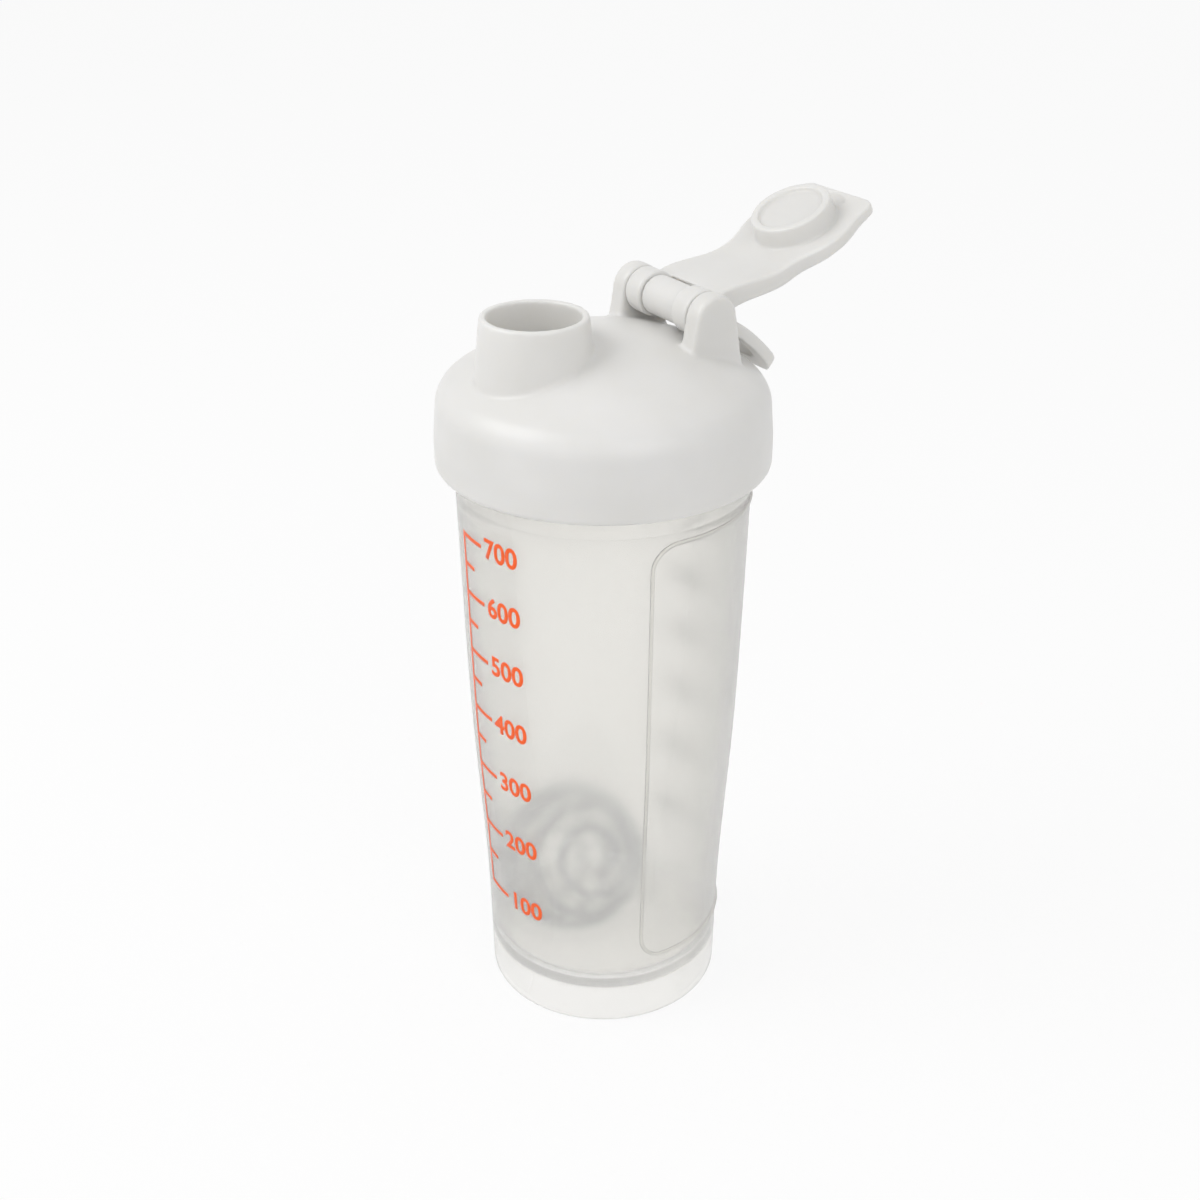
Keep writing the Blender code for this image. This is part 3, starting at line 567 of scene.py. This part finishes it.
def makeCap():
    c, h = capSet, hingeSet
    plugReach = h["offset"] + spoutSet["offset"]
    length = plugReach + spoutSet["radius"] + c["tipReach"]
    headHeight = spoutSet["top"] + 0.0003 - h["height"]
    root = h["knuckleRadius"] - 0.001
    reaches = [root + (length - 0.004 - root) * i / 60 for i in range(61)]
    reaches += [length - 0.004 * math.cos(math.pi / 2 * i / 8) for i in range(1, 9)]
    rings = []
    for reach in reaches:
        half = capHalfWidth(reach)
        under, top = capHeights(reach)
        soft = min(0.0012, (top - under) * 0.35)
        ring = [(-half + 0.0004, -reach, under), (half - 0.0004, -reach, under), (half, -reach, under + 0.0004)]
        ring += [(half - soft + soft * math.cos(a), -reach, top - soft + soft * math.sin(a)) for a in (0, 0.5, 1.05, math.pi / 2)]
        ring += [(-half + soft - soft * math.cos(a), -reach, top - soft + soft * math.sin(a)) for a in (math.pi / 2, 1.05, 0.5, 0)]
        ring += [(-half, -reach, under + 0.0004)]
        rings.append(ring)
    cap = pieceFrom("flipCap", throughRings(rings))
    roomHalf = h["knuckleInner"] + 0.0005
    cutOrJoin(cap, pieceFrom("barrelRoom", bar(h["barrelRoom"], -roomHalf, roomHalf)), "DIFFERENCE")
    recess = bar(0.0090, -roomHalf - 0.0004, roomHalf + 0.0004)
    bmesh.ops.translate(recess, verts=recess.verts, vec=(0, -0.0078, 0.0098))
    cutOrJoin(cap, pieceFrom("neckRecess", recess), "DIFFERENCE")
    for side in (1, -1):
        near, far = sorted((side * h["knuckleInner"], side * h["knuckleOuter"]))
        cutOrJoin(cap, pieceFrom("knuckle", bar(h["knuckleRadius"], near, far, 64, 0.0004)), "UNION")
    plug = coned(c["plugRadius"] - 0.0006, c["plugRadius"], headHeight - c["plugDepth"], headHeight + 0.001, -plugReach, 96)
    cutOrJoin(cap, pieceFrom("plug", plug), "UNION")
    dish = coned(c["plugRadius"] - 0.0026, c["plugRadius"] - 0.0030, headHeight - c["plugDepth"] - 0.001,
                 headHeight - c["plugDepth"] + 0.0012, -plugReach, 96)
    cutOrJoin(cap, pieceFrom("plugDish", dish), "DIFFERENCE")
    pocket = bmesh.new()
    bmesh.ops.create_uvsphere(pocket, u_segments=48, v_segments=24, radius=1.0)
    bmesh.ops.scale(pocket, verts=pocket.verts, vec=(0.0062, 0.0030, 0.0016))
    bmesh.ops.translate(pocket, verts=pocket.verts, vec=(0, -(length - 0.0042), headHeight))
    cutOrJoin(cap, pieceFrom("thumbPocket", pocket), "DIFFERENCE")
    cutOrJoin(cap, pieceFrom("capPinHole", bar(h["pinHole"], -h["knuckleOuter"] - 0.001, h["knuckleOuter"] + 0.001)), "DIFFERENCE")
    soften(cap, c["grain"], 6, milkyPolypropylene)
    return turnOnHinge(cap, -c["openAngle"])


def loopOutline(half, start, end, corner, neck=None):
    points = []
    for cx, cy, first in ((half - corner, -start - corner, 90), (-half + corner, -start - corner, 180),
                          (-half + corner, -end + corner, 270), (half - corner, -end + corner, 360)):
        points += arc(cx, cy, corner, first - 90, first, 16)
        if neck and first == 90:
            points += [(neck, -start), (neck, 0.001), (-neck, 0.001), (-neck, -start)]
    return points


def makeLoop():
    l, h = loopSet, hingeSet
    bendRadius = l["length"] / (2 * math.sin(l["bend"] / 2))
    upper, lower = [], []
    for i in range(33):
        turn = l["bend"] * (0.5 - i / 32)
        along = bendRadius * (math.sin(l["bend"] / 2) - math.sin(turn))
        rise = bendRadius * (math.cos(l["bend"] / 2) - math.cos(turn))
        outX, outY = -math.sin(turn) * l["thickness"] / 2, math.cos(turn) * l["thickness"] / 2
        upper.append((-along + outX, rise + outY))
        lower.append((-along - outX, rise - outY))
    loop = pieceFrom("carryLoop", slab(upper + lower[::-1], -l["halfWidth"], l["halfWidth"], "X"))
    tall = l["length"] / 2
    plan = slab(loopOutline(l["halfWidth"], l["neck"], l["length"], l["corner"], h["barrelHalf"] - 0.0004), -tall, tall, "Z")
    cutOrJoin(loop, pieceFrom("loopPlan", plan), "INTERSECT")
    hole = slab(loopOutline(l["halfWidth"] - l["band"], l["neck"] + l["band"], l["length"] - l["band"], l["holeCorner"]), -tall, tall, "Z")
    cutOrJoin(loop, pieceFrom("loopHole", hole), "DIFFERENCE")
    cutOrJoin(loop, pieceFrom("loopBarrel", bar(h["barrelRadius"], -h["barrelHalf"], h["barrelHalf"])), "UNION")
    cutOrJoin(loop, pieceFrom("loopPinHole", bar(h["pinHole"], -h["barrelHalf"] - 0.001, h["barrelHalf"] + 0.001)), "DIFFERENCE")
    soften(loop, l["grain"], 5, milkyPolypropylene)
    return turnOnHinge(loop, math.pi - l["angle"])


# whisk ball
def makeBall():
    b = ballSet
    turnAxis = Vector(b["pole"]).normalized()
    upright = Vector((0, 0, 1)).rotation_difference(turnAxis)
    wire = bpy.data.curves.new("whiskWire", "CURVE")
    wire.dimensions, wire.bevel_depth, wire.bevel_resolution, wire.use_fill_caps = "3D", b["wire"], 3, True
    count = b["turns"] * b["perTurn"]
    track = wire.splines.new("POLY")
    track.points.add(count)
    for i in range(count + 1):
        polar = b["eye"] + (math.pi - 2 * b["eye"]) * i / count
        a = math.tau * b["turns"] * i / count
        point = Vector((math.sin(polar) * math.cos(a), math.sin(polar) * math.sin(a), math.cos(polar)))
        track.points[i].co = (*(Vector(b["centre"]) + upright @ point * (b["radius"] - b["wire"])), 1)
    holder = bpy.data.objects.new("whiskWire", wire)
    bpy.context.scene.collection.objects.link(holder)
    bpy.context.view_layer.update()
    mesh = bpy.data.meshes.new_from_object(holder.evaluated_get(bpy.context.evaluated_depsgraph_get()))
    bpy.data.objects.remove(holder, do_unlink=True)
    bm = bmesh.new()
    bm.from_mesh(mesh)
    return pieceFrom("whiskBall", bm, drawnSteel)


def carry(piece, body, node):
    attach(piece, body)
    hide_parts(node)


for piece in makeCup():
    carry(piece, "cup_body", "cup")
carry(makePanel("gripBead"), "cup_body", "cup")
print("cup made")
carry(makeScale("scaleFront", True, orangeInk, -0.0085), "cup_body", "cup")
carry(makeScale("scaleBack", False, greyInk, -0.0085), "cup_body", "cup")
print("scales printed")
for piece in makeLid():
    carry(piece, "lid_body", "lid")
print("lid made")
carry(makeSeal(), "seal_body", "lid_seal")
carry(makePin(), "lid_body", "hinge_pin")
carry(makeCap(), "cap_body", "flip_cap")
print("flip cap made")
carry(makeLoop(), "loop_body", "carry_loop")
carry(makeBall(), "ball_body", "whisk_ball")
print("loop and ball made")


# studio
def makeFloor():
    bm = bmesh.new()
    bmesh.ops.create_grid(bm, x_segments=1, y_segments=1, size=3.0)
    floor = pieceFrom("studioFloor", bm)
    made, tree, shader = newMaterial("paleFloorPaint")
    shader.inputs["Base Color"].default_value = linear("#F2F2F2")
    shader.inputs["Roughness"].default_value = 0.9
    path = addNode(tree, "ShaderNodeLightPath")
    seen = addNode(tree, "ShaderNodeMath", {"operation": "MAXIMUM"}, {0: path.outputs["Is Camera Ray"], 1: path.outputs["Is Glossy Ray"]})
    seenToo = addNode(tree, "ShaderNodeMath", {"operation": "MAXIMUM"}, {0: seen.outputs[0], 1: path.outputs["Is Transmission Ray"]})
    share = addNode(tree, "ShaderNodeMath", {"operation": "MULTIPLY", 1: 0.88}, {0: seenToo.outputs[0]})
    glow = addNode(tree, "ShaderNodeEmission", {"Strength": 1.0})
    glow.inputs["Color"].default_value = (1, 1, 1, 1)
    mixed = addNode(tree, "ShaderNodeMixShader", None, {0: share.outputs[0], 1: shader.outputs["BSDF"], 2: glow.outputs["Emission"]})
    tree.links.new(mixed.outputs["Shader"], tree.nodes["Material Output"].inputs["Surface"])
    floor.data.materials.append(made)


def makeWorld():
    world = bpy.data.worlds.new("studioWorld")
    world.use_nodes = True
    tree = world.node_tree
    back = tree.nodes["Background"]
    back.inputs["Color"].default_value = (1, 1, 1, 1)
    path = addNode(tree, "ShaderNodeLightPath")
    seen = addNode(tree, "ShaderNodeMath", {"operation": "MAXIMUM"}, {0: path.outputs["Is Camera Ray"], 1: path.outputs["Is Glossy Ray"]})
    seenToo = addNode(tree, "ShaderNodeMath", {"operation": "MAXIMUM"}, {0: seen.outputs[0], 1: path.outputs["Is Transmission Ray"]})
    level = addNode(tree, "ShaderNodeMapRange", {"To Min": 0.62, "To Max": 1.0}, {"Value": seenToo.outputs[0]})
    tree.links.new(level.outputs["Result"], back.inputs["Strength"])
    bpy.context.scene.world = world


def addLamp(name, place, aim, size, power):
    data = bpy.data.lights.new(name, "AREA")
    data.shape, data.size, data.energy = "DISK", size, power
    lamp = bpy.data.objects.new(name, data)
    lamp.location = place
    lamp.rotation_euler = (Vector(aim) - Vector(place)).to_track_quat("-Z", "Y").to_euler()
    bpy.context.scene.collection.objects.link(lamp)


def makeCamera():
    data = bpy.data.cameras.new("studioCamera")
    data.lens, data.sensor_width, data.shift_x = 51.1, 36.0, -0.00275
    data.clip_start = 0.01
    camera = bpy.data.objects.new("studioCamera", data)
    turn = math.radians(56.6)
    camera.location = (0.4604 * math.sin(turn), -0.4604 * math.cos(turn), 0.3719)
    camera.rotation_euler = (math.radians(90 - 27.42), 0, turn)
    bpy.context.scene.collection.objects.link(camera)
    bpy.context.scene.camera = camera


makeFloor()
makeWorld()
addLamp("softKey", (-0.35, -0.85, 1.05), (0, 0, 0.15), 0.9, 7)
addLamp("softFill", (0.9, -0.1, 0.7), (0, 0, 0.15), 0.9, 2.5)
makeCamera()
scene = bpy.context.scene
scene.view_settings.view_transform = "Standard"
print("studio ready")
